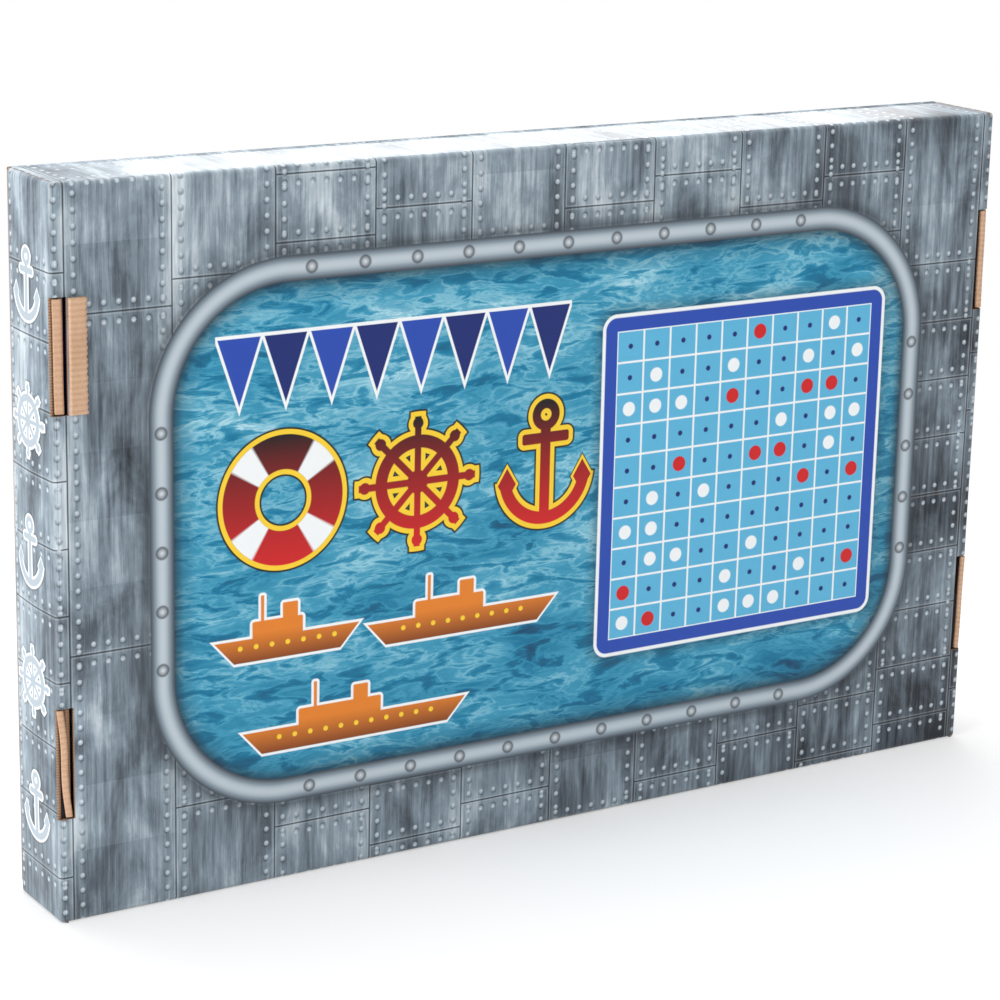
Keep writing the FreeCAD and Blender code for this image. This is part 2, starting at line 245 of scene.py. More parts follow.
def addStudio(setting):
    world = bpy.data.worlds.new("studio")
    scene.world = world
    world.use_nodes = True
    nodes, links = world.node_tree.nodes, world.node_tree.links
    dim = nodes["Background"]
    dim.inputs["Color"].default_value = (1.0, 1.0, 1.0, 1.0)
    dim.inputs["Strength"].default_value = setting["ambient"]
    white = nodes.new("ShaderNodeBackground")
    white.inputs["Color"].default_value = (1.0, 1.0, 1.0, 1.0)
    path = nodes.new("ShaderNodeLightPath")
    seen = path.outputs["Is Camera Ray"]
    for ray in ("Is Glossy Ray", "Is Transmission Ray"):
        either = nodes.new("ShaderNodeMath")
        either.operation = "MAXIMUM"
        links.new(seen, either.inputs[0])
        links.new(path.outputs[ray], either.inputs[1])
        seen = either.outputs[0]
    mix = nodes.new("ShaderNodeMixShader")
    links.new(seen, mix.inputs[0])
    links.new(dim.outputs[0], mix.inputs[1])
    links.new(white.outputs[0], mix.inputs[2])
    links.new(mix.outputs[0], nodes["World Output"].inputs["Surface"])

    half = setting["floorSize"] / 2
    data = bpy.data.meshes.new("floor")
    square = [(-half, -half, 0), (half, -half, 0), (half, half, 0), (-half, half, 0)]
    data.from_pydata(square, [], [(0, 1, 2, 3)])
    floor = bpy.data.objects.new("floor", data)
    scene.collection.objects.link(floor)
    paint = Paint("paleFloor")
    x, y, z = paint.spot()
    share, start, reach = setting["glow"]
    far = paint.clip(share + (paint.length(x, y) - start) / reach)
    paint.set(Base_Color=setting["floor"], Roughness=0.9)
    glow = paint.node("ShaderNodeEmission", {}, {"Color": (1.0, 1.0, 1.0, 1.0), "Strength": 1.0})
    rays = paint.node("ShaderNodeLightPath", {}, {}).outputs
    seen = paint.high(rays["Is Camera Ray"], paint.high(rays["Is Glossy Ray"], rays["Is Transmission Ray"]))
    blend = paint.node("ShaderNodeMixShader", {}, {
        0: seen * far, 1: paint.shader.outputs[0], 2: glow.outputs[0]})
    paint.feed(paint.nodes["Material Output"].inputs["Surface"], blend.outputs[0])
    data.materials.append(paint.material)

    for name, place, aim, size, watts in setting["lamps"]:
        lamp = bpy.data.lights.new(name, "AREA")
        lamp.size = size
        lamp.energy = watts
        holder = bpy.data.objects.new(name, lamp)
        scene.collection.objects.link(holder)
        back = np.array(place) - np.array(aim)
        back = back / np.linalg.norm(back)
        right = np.cross([0, 0, 1], back)
        right /= np.linalg.norm(right)
        stand(holder, right, np.cross(back, right), back, place)


addStudio(studio)
print("studio lit")


# printed board: riveted plating round the folds, and a picture panel on the flat faces

printTones = {
    "steel": [(0.0, linear(34, 39, 46)), (0.3, linear(88, 98, 108)), (0.6, linear(134, 149, 160)),
              (1.0, linear(206, 216, 223))],
    "seam": linear(38, 44, 52),
    "rivetLight": linear(214, 222, 228),
    "rivetMid": linear(162, 174, 184),
    "rivetDark": linear(44, 51, 59),
    "sea": [(0.0, linear(0, 60, 98)), (0.34, linear(4, 118, 156)), (0.58, linear(62, 152, 184)),
            (0.8, linear(140, 198, 216)), (1.0, linear(226, 241, 246))],
    "seaShade": linear(16, 62, 84),
    "navy": linear(22, 40, 110),
    "royal": linear(38, 74, 172),
    "boardBlue": linear(92, 178, 216),
    "white": linear(240, 243, 244),
    "red": linear(206, 28, 30),
    "black": linear(26, 16, 18),
    "yellow": linear(246, 206, 52),
    "orange": linear(226, 128, 38),
    "brown": linear(122, 58, 20),
    "paperCore": linear(232, 228, 222),
    # painted shade, for board that sits deep in a slot
    "slotShade": linear(18, 18, 26),
    "stencil": linear(168, 180, 190),
    "kraft": [(0.2, linear(178, 136, 104)), (0.5, linear(206, 168, 138)), (0.8, linear(222, 190, 162))],
    "cutEdge": [(0.15, linear(104, 76, 58)), (0.5, linear(158, 124, 98)), (0.85, linear(204, 172, 144))],
}
fluteTurn = 2 * np.pi / 2.0     # radians per mm, for flutes 2 mm apart

plating = {
    "plate": (39.0, 23.5),      # mm, column width and row height
    "rivetStep": 5.4,
    "rivetInset": 3.3,
    "rivetRadius": 0.92,
    "seamHalf": 0.24,
    "seamChance": 0.3,          # share of the cross seams that are left out
    "away": 60.0,               # mm, puts a seam that is left out beyond reach
    "shadowSlip": (0.2, -0.45), # mm across and up, from a rivet's middle to its shadow's
    "gleamSlip": (0.0, 0.3),    # the same for its gleam
    "tone": 0.53,               # place on the steel ramp
    "plateTone": 0.12,          # how far whole plates differ
    "layers": [
        # waves per mm across and up, then detail, roughness and distortion, then weight in the tone
        ((0.42, 0.02), (5.0, 0.62), 1.0),
        ((2.2, 0.09), (2.0,), 0.25),
        ((0.055, 0.024), (6.0, 0.6, 0.4), 1.7),
    ],
}


def platingInk(paint, p, q, darker):
    # plates in columns with staggered cross seams, some left out; a rivet row follows each side of a seam
    wide, tall = plating["plate"]
    step, inset, radius = plating["rivetStep"], plating["rivetInset"], plating["rivetRadius"]
    column = paint.math("FLOOR", p / wide)
    rise = q + paint.math("FRACT", column * 0.618) * tall
    row = paint.math("FLOOR", rise / tall)
    across = p - (column + 0.5) * wide
    below, above = rise - row * tall, (row + 1.0) * tall - rise
    share, away = plating["seamChance"], plating["away"]
    missing, missingAbove = [
        away * paint.math("LESS_THAN", paint.chance(column + 0.37, row + shift), share)
        for shift in (0.61, 1.61)]
    sideGap = wide / 2 - abs(across)
    endGap = paint.low(below + missing, above + missingAbove)
    gap = paint.low(sideGap, endGap)
    tone = plating["tone"]
    for (fast, slow), look, weight in plating["layers"]:
        tone = tone + (paint.noise(paint.vector(p * fast, q * slow), *look) - 0.5) * weight
    fleck = paint.noise(paint.vector(p * 0.9, q * 0.9, 4.0), 4.0, 0.7)
    tone = tone - paint.clip(fleck * 5.0 - 3.1) * 0.22
    # darker lowers the whole tone; from basePrint it carries painted shade
    tone = tone + (paint.chance(column, row) - 0.5) * plating["plateTone"] - darker
    tone = tone + paint.clip(1.0 - gap / 5.0) * 0.06
    colour = paint.ramp(tone, printTones["steel"])
    colour = paint.lay(colour, "white", paint.inside(abs(gap - 0.6) - 0.15, 0.4) * 0.2)
    colour = paint.lay(colour, "seam", paint.inside(gap - plating["seamHalf"], 0.3) * 0.9)
    sideRise, sideRun = paint.wrap(rise, step), sideGap - inset
    endRise, endRun = endGap - inset, paint.wrap(across, step)
    shadow, size, gleam = [
        paint.low(paint.length(sideRun - slip, sideRise - lift), paint.length(endRun - slip, endRise - lift))
        for slip, lift in (plating["shadowSlip"], (0.0, 0.0), plating["gleamSlip"])]
    colour = paint.lay(colour, "rivetDark", paint.inside(shadow - radius - 0.12, 0.8) * 0.66)
    colour = paint.lay(colour, "rivetMid", paint.inside(size - radius, 0.4) * 0.92)
    return paint.lay(colour, "rivetLight", paint.inside(gleam - radius * 0.45, 0.9) * 0.85)


def seaInk(paint, p, q):
    # long swell, short ripples and pale crests, all drawn out sideways
    drift = paint.noise(paint.vector(p * 0.012, q * 0.03), 2.0)
    rise = paint.noise(paint.vector(p * 0.02, q * 0.062 + drift * 2.0), 4.0, 0.55, 0.4)
    ripple = paint.noise(paint.vector(p * 0.065, q * 0.23 + drift * 3.0), 5.0, 0.6, 0.5)
    crest = 1.0 - abs(ripple * 2.0 - 1.0)
    paler = paint.clip((q - 40.0) / 120.0) * 0.1
    tone = rise * 0.96 - 0.12 + paler + (ripple - 0.5) * 0.86 + paint.clip(crest * 5.0 - 4.1) * 0.28
    return paint.ramp(tone, printTones["sea"])


def boxGap(paint, u, v, middle, half, corner):
    # signed distance to a rectangle with round corners
    across = abs(u - middle[0]) - (half[0] - corner)
    along = abs(v - middle[1]) - (half[1] - corner)
    outer = paint.length(paint.high(across, 0.0), paint.high(along, 0.0))
    return outer + paint.low(paint.high(across, along), 0.0) - corner


window = {
    "rim": 9.0,                 # mm, width of the rolled edge
    "boltStep": 21.0,
    "boltRadius": 2.4,
    "gleamRadius": 1.2,
    "shadowReach": (3.0, 16.0),     # on the plates, close by and further off
    "depthReach": (9.0, 3.5),       # on the sea, tint and dark edge
}


def windowInk(paint, colour, p, q, middle, half, corner):
    # a sea panel behind a bolted, rolled steel rim
    rim, boltStep = window["rim"], window["boltStep"]
    near, far = window["shadowReach"]
    tint, edge = window["depthReach"]
    gap = boxGap(paint, p, q, middle, half, corner)
    bank = paint.clip(gap / rim)
    dark = paint.clip(1.0 - abs(gap - rim - 1.0) / near) * 0.4 + paint.clip(1.0 - abs(gap - rim) / far) * 0.25
    colour = paint.lay(colour, "seam", dark)
    shine = paint.math("SINE", bank * np.pi) * 0.75 + 0.12
    steel = paint.ramp(shine, printTones["steel"])
    colour = paint.mix(colour, steel, paint.inside(gap - rim, 0.4))
    across, along = p - middle[0], q - middle[1]
    topRow = paint.length(gap - rim / 2, paint.wrap(across, boltStep))
    onTop = paint.inside(abs(across) - (half[0] - corner), 1.0) * paint.inside(corner * 0.7 - abs(along), 1.0)
    sideRow = paint.length(gap - rim / 2, paint.wrap(along, boltStep))
    onSide = paint.inside(abs(along) - (half[1] - corner), 1.0)
    head, light = window["boltRadius"], window["gleamRadius"]
    bolts = paint.inside(topRow - head, 0.7) * onTop + paint.inside(sideRow - head, 0.7) * onSide
    gleam = paint.inside(topRow - light, 1.6) * onTop + paint.inside(sideRow - light, 1.6) * onSide
    colour = paint.lay(colour, "rivetDark", bolts * 0.8)
    colour = paint.lay(colour, "rivetLight", gleam * 0.8)
    water = seaInk(paint, p, q)
    water = paint.lay(water, "seaShade", paint.clip(1.0 + gap / tint) * 0.6)
    water = paint.lay(water, "black", paint.clip(1.0 + gap / edge) * 0.6)
    return paint.mix(colour, water, paint.inside(gap, 0.4))


outlines = {
    # mm beyond the fill
    "badge": 1.8,
    "badgeDrop": 2.5,
    "stencil": 0.9,
    "stencilDrop": 1.4,
    "pennant": 1.1,
    "ship": 1.0,
}


def badgeInk(paint, colour, gap, v, foot, top):
    # black to red fill with a yellow outline and a dark drop line
    fill = paint.mix(printTones["red"], printTones["black"], paint.clip((v - foot) / (top - foot)))
    colour = paint.lay(colour, "black", paint.inside(gap - outlines["badgeDrop"], 0.5))
    colour = paint.lay(colour, "yellow", paint.inside(gap - outlines["badge"], 0.3))
    return paint.mix(colour, fill, paint.inside(gap, 0.3))


def stencilInk(paint, colour, gap):
    # pale grey fill with a white outline and a soft dark drop line
    colour = paint.lay(colour, "seam", paint.inside(gap - outlines["stencilDrop"], 0.8) * 0.5)
    colour = paint.lay(colour, "white", paint.inside(gap - outlines["stencil"], 0.3) * 0.9)
    return paint.lay(colour, "stencil", paint.inside(gap, 0.3))


def lifebuoyGap(paint, u, v, middle, size):
    return abs(paint.length(u - middle[0], v - middle[1]) - size * 0.72) - size * 0.26


def bandsInk(paint, colour, u, v, middle, gap):
    # four pale bands round the lifebuoy
    turn = paint.wrap(paint.math("ARCTAN2", v - middle[1], u - middle[0]) + np.pi / 4, np.pi / 2)
    bands = paint.inside(abs(turn) - 0.24, 0.05) * paint.inside(gap, 0.3)
    return paint.lay(colour, "white", bands)


def anchorGap(paint, u, v, middle, size):
    x, y = u - middle[0], v - middle[1]
    eye = abs(paint.length(x, y - size * 0.78) - size * 0.17) - size * 0.075
    shank = boxGap(paint, x, y, (0.0, -size * 0.1), (size * 0.09, size * 0.76), 0.5)
    stock = boxGap(paint, x, y, (0.0, size * 0.42), (size * 0.42, size * 0.085), 1.0)
    arc = abs(paint.length(x, y + size * 0.12) - size * 0.72) - size * 0.1
    arms = paint.high(arc, y + size * 0.28)
    fluke = abs(abs(x) - size * 0.68) * 1.6 + abs(y + size * 0.25) - size * 0.26
    return paint.low(paint.low(eye, shank), paint.low(stock, paint.low(arms, fluke)))


def wheelGap(paint, u, v, middle, size):
    x, y = u - middle[0], v - middle[1]
    reach = paint.length(x, y)
    rim = abs(reach - size * 0.62) - size * 0.1
    hub = reach - size * 0.18
    turn = paint.wrap(paint.math("ARCTAN2", y, x), np.pi / 4)
    spoke = paint.high(abs(paint.math("SINE", turn) * reach) - size * 0.055, reach - size)
    knob = paint.length(paint.math("SINE", turn) * reach, reach - size * 0.9) - size * 0.09
    return paint.low(paint.low(rim, hub), paint.low(spoke, knob))


def pennantsInk(paint, colour, u, v, start, count, step, line, drop):
    # a string of three-cornered flags, in two blues by turns, edged with white
    place = u - start
    within = paint.inside(abs(place - count * step / 2) - count * step / 2, 0.3)
    across = abs(paint.wrap(place - step / 2, step))
    gap = paint.high(v - line, across - (v - line + drop) * (step * 0.46 / drop))
    odd = paint.math("FLOORED_MODULO", paint.math("FLOOR", place / step), 2.0)
    fill = paint.mix(printTones["royal"], printTones["navy"], odd)
    colour = paint.lay(colour, "white", paint.inside(gap - outlines["pennant"], 0.3) * within)
    colour = paint.mix(colour, fill, paint.inside(gap, 0.3) * within)
    cord = paint.inside(abs(v - line - 0.6) - 0.6, 0.3) * within
    return paint.lay(colour, "white", cord)


aimGrid = {
    "share": 0.9,               # of the frame's width
    "corner": 6.0,
    "shadowReach": 5.0,
    "edge": 1.4,                # white line round the frame
    "lineHalf": 0.4,
    "radii": (1.0, 2.7, 2.9),   # of the holes, white marks and red marks
    "chances": (0.62, 0.86),    # above the first a white mark, above the second a red one
}


def boardInk(paint, colour, u, v, middle, half, cells):
    # a plain ten by ten aiming grid with red and white marks
    step = 2.0 * half * aimGrid["share"] / cells
    gap = boxGap(paint, u, v, middle, (half, half), aimGrid["corner"])
    colour = paint.lay(colour, "black", paint.clip(1.0 - gap / aimGrid["shadowReach"]) * 0.45)
    colour = paint.lay(colour, "white", paint.inside(gap, 0.4))
    colour = paint.lay(colour, "royal", paint.inside(gap + aimGrid["edge"], 0.4))
    x, y = u - middle[0], v - middle[1]
    field = paint.inside(paint.high(abs(x), abs(y)) - cells * step / 2, 0.3)
    inX, inY = paint.wrap(x - step / 2, step), paint.wrap(y - step / 2, step)
    lineGap = step / 2 - paint.high(abs(inX), abs(inY))
    colour = paint.lay(colour, "boardBlue", field)
    colour = paint.lay(colour, "white", paint.inside(lineGap - aimGrid["lineHalf"], 0.3) * field)
    pick = paint.chance(paint.math("FLOOR", x / step), paint.math("FLOOR", y / step))
    marked, hit = [paint.math("GREATER_THAN", pick, chance) for chance in aimGrid["chances"]]
    dot = paint.length(inX, inY)
    hole, white, red = [paint.inside(dot - radius, 0.4) * field for radius in aimGrid["radii"]]
    colour = paint.lay(colour, "navy", hole)
    colour = paint.lay(colour, "white", white * (marked - hit))
    return paint.lay(colour, "red", red * hit)


def shipGap(paint, u, v, middle, size, scale=1.0):
    # side view of a plain ship: sloped hull, deckhouse, funnel, mast
    x, y, size = (u - middle[0]) / scale, (v - middle[1]) / scale, size / scale
    hull = paint.high(abs(y) - 3.4, abs(x) - size / 2 - y * 0.9)
    house = boxGap(paint, x, y, (-size * 0.08, 5.4), (size * 0.2, 2.8), 0.6)
    funnel = boxGap(paint, x, y, (size * 0.02, 9.4), (2.4, 3.2), 0.4)
    mast = boxGap(paint, x, y, (-size * 0.2, 10.6), (0.5, 5.0), 0.2)
    return paint.low(paint.low(hull, house), paint.low(funnel, mast)) * scale


def shipInk(paint, colour, u, v, middle, size, scale):
    # white outline, orange hull that darkens downwards, a row of portholes
    gap = shipGap(paint, u, v, middle, size, scale)
    colour = paint.lay(colour, "white", paint.inside(gap - outlines["ship"], 0.3))
    x, y = u - middle[0], v - middle[1]
    fill = paint.mix(printTones["brown"], printTones["orange"], paint.clip((y + 4.0 * scale) / (9.0 * scale)))
    colour = paint.mix(colour, fill, paint.inside(gap, 0.3))
    port = paint.length(paint.wrap(x, 5.0 * scale), y - 0.9 * scale) - 0.75 * scale
    along = paint.inside(abs(x) - size * 0.4, 0.3)
    return paint.lay(colour, "yellow", paint.inside(port, 0.3) * along)


def scuffInk(paint, colour, p, q, sideFolds, levelFolds):
    # worn ink along the folds: pale broken specks on the crest of each crease
    grain = paint.noise(paint.vector(p * 0.5, q * 0.5), 5.0, 0.7)
    for distance in [p - place for place in sideFolds] + [q - place for place in levelFolds]:
        near = paint.clip(1.0 - abs(distance) / 1.5)
        worn = paint.clip((grain + near * 0.2 - 0.78) * 6.0) * paint.clip(near * 2.0)
        colour = paint.lay(colour, "paperCore", worn * 0.4 + near * 0.06)
    return colour


laminate = {
    "rough": (0.4, 0.16),       # least, and what the smears add
    "specular": 0.06,
    "coat": 0.42,
    "coatRough": 0.2,
    "flute": 0.012,             # mm
    "dent": 0.8,                # mm
}


def finishBoard(paint, colour, p, q):
    # gloss laminate over fine flutes that run along the board
    smear = paint.noise(paint.vector(p * 0.03, q * 0.03, 3.0), 4.0)
    least, more = laminate["rough"]
    paint.set(Base_Color=colour, Roughness=least + smear * more, Specular_IOR_Level=laminate["specular"],
              Coat_Weight=laminate["coat"], Coat_Roughness=laminate["coatRough"])
    flutes = paint.math("SINE", q * fluteTurn)
    dents = paint.noise(paint.vector(p * 0.022, q * 0.022, 5.0), 3.0)
    paint.bump(flutes * laminate["flute"] + dents * laminate["dent"], 0.5)


# pictures on the blank, in mm: p from the carton's middle, q up from the lower fold

basePicture = {
    "window": ((2.0, 128.0), (158.0, 90.0), 44.0),      # middle, half size, corner radius
    "pennants": (-140.0, 8, 18.0, 200.0, 24.0),         # start, count, step, level of the cord, drop
    "badges": [lifebuoyGap, wheelGap, anchorGap],
    "badgeStart": (-114.0, 141.0),
    "badgeStep": 54.0,
    "badgeSize": 24.0,
    "badgeSpan": (118.0, 164.0),        # levels where the fill is red and black
    "ships": [((-112.0, 88.0), 50.0), ((-40.0, 86.0), 72.0), ((-84.0, 53.0), 84.0)],    # middle, length
    "shipScale": 1.25,
    "folds": ((-200.0, 200.0), (0.0, 258.0)),
    "grid": ((84.0, 128.0), 66.0, 10),                  # middle, half size, cells
}
lidPicture = {
    "window": ((0.0, 129.0), (166.0, 96.0), 60.0),
    "pennants": (-126.0, 14, 18.0, 206.0, 24.0),
    "badges": [anchorGap, wheelGap, lifebuoyGap],
    "badgeStart": (-84.0, 149.0),
    "badgeStep": 84.0,
    "badgeSize": 27.0,
    "badgeSpan": (122.0, 176.0),
    "ships": [((-76.0, 92.0), 112.0), ((66.0, 88.0), 128.0), ((-6.0, 52.0), 156.0)],
    "shipScale": 1.7,
    "folds": ((-199.0, 199.0), (3.0, 257.5)),
}
endPicture = {
    "middle": (218.0, 129.0),
    "step": 46.0,
    "size": 12.5,
}


def endInk(paint, colour, p, q):
    # anchors and wheels in turn up the end walls
    place, level = endPicture["middle"]
    step, size = endPicture["step"], endPicture["size"]
    anchors = anchorGap(paint, abs(p), paint.wrap(q - level, 2 * step), (place, 0.0), size)
    colour = stencilInk(paint, colour, anchors)
    wheels = wheelGap(paint, abs(p), paint.wrap(q - level - step, 2 * step), (place, 0.0), size)
    return stencilInk(paint, colour, paint.high(wheels, abs(q - level) - 2 * step))


def pictureInk(paint, colour, p, q, picture):
    # window, pennants, badges and ships
    colour = windowInk(paint, colour, p, q, *picture["window"])
    colour = pennantsInk(paint, colour, p, q, *picture["pennants"])
    start, level = picture["badgeStart"]
    for index, shape in enumerate(picture["badges"]):
        middle = (start + index * picture["badgeStep"], level)
        gap = shape(paint, p, q, middle, picture["badgeSize"])
        colour = badgeInk(paint, colour, gap, q, *picture["badgeSpan"])
        if shape is lifebuoyGap:
            colour = bandsInk(paint, colour, p, q, middle, gap)
    for middle, size in picture["ships"]:
        colour = shipInk(paint, colour, p, q, middle, size, picture["shipScale"])
    return colour


def basePrint():
    paint = Paint("basePrint")
    p, q = paint.place()
    # painted light and shade over the print's own tone: the plates darken to the right, most of all low down,
    # away from the left lamp, and are paler at the top
    shadeRightward = paint.clip((p + 40.0) / 260.0) * 0.16
    shadeLowRight = paint.clip((p + 60.0) / 300.0) * paint.clip((110.0 - q) / 110.0) * 0.2
    paintedShade = shadeRightward + shadeLowRight + 0.05 - paint.clip((q - 165.0) / 70.0) * 0.1
    # the painted shade goes into the plating's tone
    colour = endInk(paint, platingInk(paint, p, q, paintedShade), p, q)
    colour = pictureInk(paint, colour, p, q, basePicture)
    colour = boardInk(paint, colour, p, q, *basePicture["grid"])
    finishBoard(paint, scuffInk(paint, colour, p, q, *basePicture["folds"]), p, q)
    return paint.material


def lidPrint():
    paint = Paint("lidPrint")
    p, q = paint.place()
    colour = pictureInk(paint, platingInk(paint, p, q, 0.02), p, q, lidPicture)
    finishBoard(paint, scuffInk(paint, colour, p, q, *lidPicture["folds"]), p, q)
    return paint.material


def kraftLiner(name, shadedBelow=None):
    # bare liner with the flutes showing through; past a given Y, in mm, it gets painted shade, dark as the
    # inside of a slot
    paint = Paint(name)
    x, y, z = paint.spot()
    fibre = paint.noise(paint.vector(x * 1.3, y * 1.3, z * 3.0), 6.0, 0.7)
    cloud = paint.noise(paint.vector(x * 0.06, y * 0.06, z * 0.06), 3.0)
    rib = paint.math("SINE", z * fluteTurn)
    colour = paint.ramp(fibre * 0.55 + cloud * 0.35 + rib * 0.06, printTones["kraft"])
    if shadedBelow is not None:
        # painted shade: the slot's dark tone over the liner past that depth
        colour = paint.lay(colour, "slotShade", paint.inside(shadedBelow - y, 0.8))
    paint.set(Base_Color=colour, Roughness=0.86)
    paint.bump(fibre * 0.05 + rib * 0.06, 0.6)
    return paint.material


def boardEdge():
    # a cut edge: two liners with the flutes between them, drawn along the edge
    paint = Paint("boardEdge")
    x, y, z = paint.spot()
    grain = paint.noise(paint.vector(x * 2.0, y * 2.0, z * 2.0), 4.0, 0.7)
    wave = paint.math("SINE", z * fluteTurn)
    colour = paint.ramp(grain * 0.6 + abs(wave) * 0.3, printTones["cutEdge"])
    paint.set(Base_Color=colour, Roughness=0.9)
    paint.bump(grain * 0.2, 0.7)
    return paint.material


boardFaces = [basePrint(), kraftLiner("kraftLiner"), boardEdge()]
lidFaces = [lidPrint(), boardFaces[1], boardFaces[2]]
print("printed board ready")


# folded sheets: a path of points across, carried along a line, with the flat blank's coordinates

def spread(*values):
    # rows and columns of points, or of places on the blank, from values that go along one way or both
    return np.stack(np.broadcast_arrays(*values), axis=-1)


def addSheet(name, points, blank, faces, thickness, keep=None):
    # a board of this thickness behind the points; faces are its materials in front, behind and at the edge
    rows, columns = points.shape[:2]
    corner = np.arange(rows * columns).reshape(rows, columns)
    quads = np.stack([corner[:-1, :-1], corner[1:, :-1], corner[1:, 1:], corner[:-1, 1:]], axis=-1)
    quads = quads.reshape(-1, 4) if keep is None else quads[keep]
    data = bpy.data.meshes.new(name)
    data.from_pydata(points.reshape(-1, 3).tolist(), [], quads.tolist())
    flat = blank.reshape(-1, 2)[quads.ravel()]
    layer = data.uv_layers.new(name="blank")
    layer.data.foreach_set("uv", flat.ravel())
    data.polygons.foreach_set("use_smooth", np.ones(len(quads), dtype=bool))
    loose = np.setdiff1d(np.arange(rows * columns), np.unique(quads))
    sheet = bpy.data.objects.new(name, data)
    scene.collection.objects.link(sheet)
    if len(loose):
        work = bmesh.new()
        work.from_mesh(data)
        work.verts.ensure_lookup_table()
        bmesh.ops.delete(work, geom=[work.verts[index] for index in loose], context="VERTS")
        work.to_mesh(data)
        work.free()
    for material in faces:
        data.materials.append(material)
    solid = sheet.modifiers.new("board", "SOLIDIFY")
    solid.thickness = thickness
    solid.offset = -1.0
    solid.use_even_offset = True
    solid.material_offset = 1
    solid.material_offset_rim = 2
    return sheet


def bend(centre, radius, start, stop, count):
    # points of an arc in a plane, angles in degrees
    angle = np.radians(np.linspace(start, stop, count))
    return np.stack([centre[0] + radius * np.cos(angle), centre[1] + radius * np.sin(angle)], axis=-1)


def run(first, last, spacing):
    # even points from first to last, both included
    count = max(2, int(np.ceil(np.hypot(last[0] - first[0], last[1] - first[1]) / spacing)) + 1)
    return np.linspace(first, last, count)


def pathLength(path):
    step = np.hypot(*np.diff(path, axis=0).T)
    return np.concatenate([[0.0], np.cumsum(step)])


def cleanPath(*pieces):
    # joins runs and bends, leaving out points that repeat
    path = np.concatenate(pieces)
    keep = np.concatenate([[True], np.hypot(*np.diff(path, axis=0).T) > 1e-6])
    return path[keep]


def corners(name):
    # a node's low and high corner
    return [np.array(corner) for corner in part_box(name)]


baseLow, baseHigh = corners("base_panel")
lidLow, lidHigh = corners("carton_lid")
rimLow, rimHigh = corners("left_inner_end")
bottomHigh = corners("bottom_wall")[1]
topHigh = corners("top_wall")[1]
flapLow, flapHigh = corners("slot_flap")
cartonTall = float(baseHigh[2])
cartonHalf = float(baseHigh[0])
baseFace = float(baseLow[1])
board = float(baseHigh[1] - baseLow[1])
foldY = float(lidHigh[1]) - board / 2

carton = {
    "foldRadius": 0.0017,
    "spacing": 0.006,
    "slotLength": 0.040,
    "slotCentres": (0.058, 0.200),
    "slotInner": (0.0060, 0.0052),      # from the end wall's face, left and right
    "slotSpacing": 0.002,
    "tabPlay": 0.0006,
    "baseBow": 0.0007,          # how far the big panels swell
    "endBow": 0.0008,           # how far the end walls swell
    "lidPlay": 0.0008,          # from the end walls to the lid's sides
    "lidFoldPlay": 0.00005,     # how far the top wall's fold stands off the lid's
    "edgeRound": 0.0016,        # how far the end walls' raw edges curl in
    "edgeDrop": 0.96,           # share of a full quarter round
    "rimFold": 0.0016,
    "rimShort": 0.002,          # from where the rim is cut short to its crest
    "innerPlay": 0.0003,        # from the base panel to the inner end wall
    "foldRows": 12,             # rows of an end wall that hold its base fold
}


def slotRows(z):
    # which rows of a sheet lie beside a lock slot
    middle = (z[1:] + z[:-1]) / 2
    half = carton["slotLength"] / 2
    return np.any([np.abs(middle - centre) < half for centre in carton["slotCentres"]], axis=0)


def rowsThrough(marks, spacings):
    # rising values through the marks, evenly spaced between each two of them
    pieces = [run((0.0, first), (0.0, last), spacing)[:, 1]
              for first, last, spacing in zip(marks, marks[1:], spacings)]
    return np.unique(np.round(np.concatenate(pieces), 6))


def heights(low, high, extra=()):
    # even rows from low to high, with a row at each end of each slot, of its tab and at each extra mark
    marks = [low, high, *extra]
    for centre in carton["slotCentres"]:
        for half in (carton["slotLength"] / 2, carton["slotLength"] / 2 - carton["tabPlay"]):
            marks += [centre - half, centre + half]
    marks = np.unique(np.round([mark for mark in marks if low <= mark <= high], 6))
    return rowsThrough(marks, [carton["spacing"]] * (len(marks) - 1))


def swell(u, v):
    # a shallow cushion that is level at the edges
    return np.sin(np.pi * np.clip(u, 0, 1)) ** 1.5 * np.sin(np.pi * np.clip(v, 0, 1)) ** 1.5


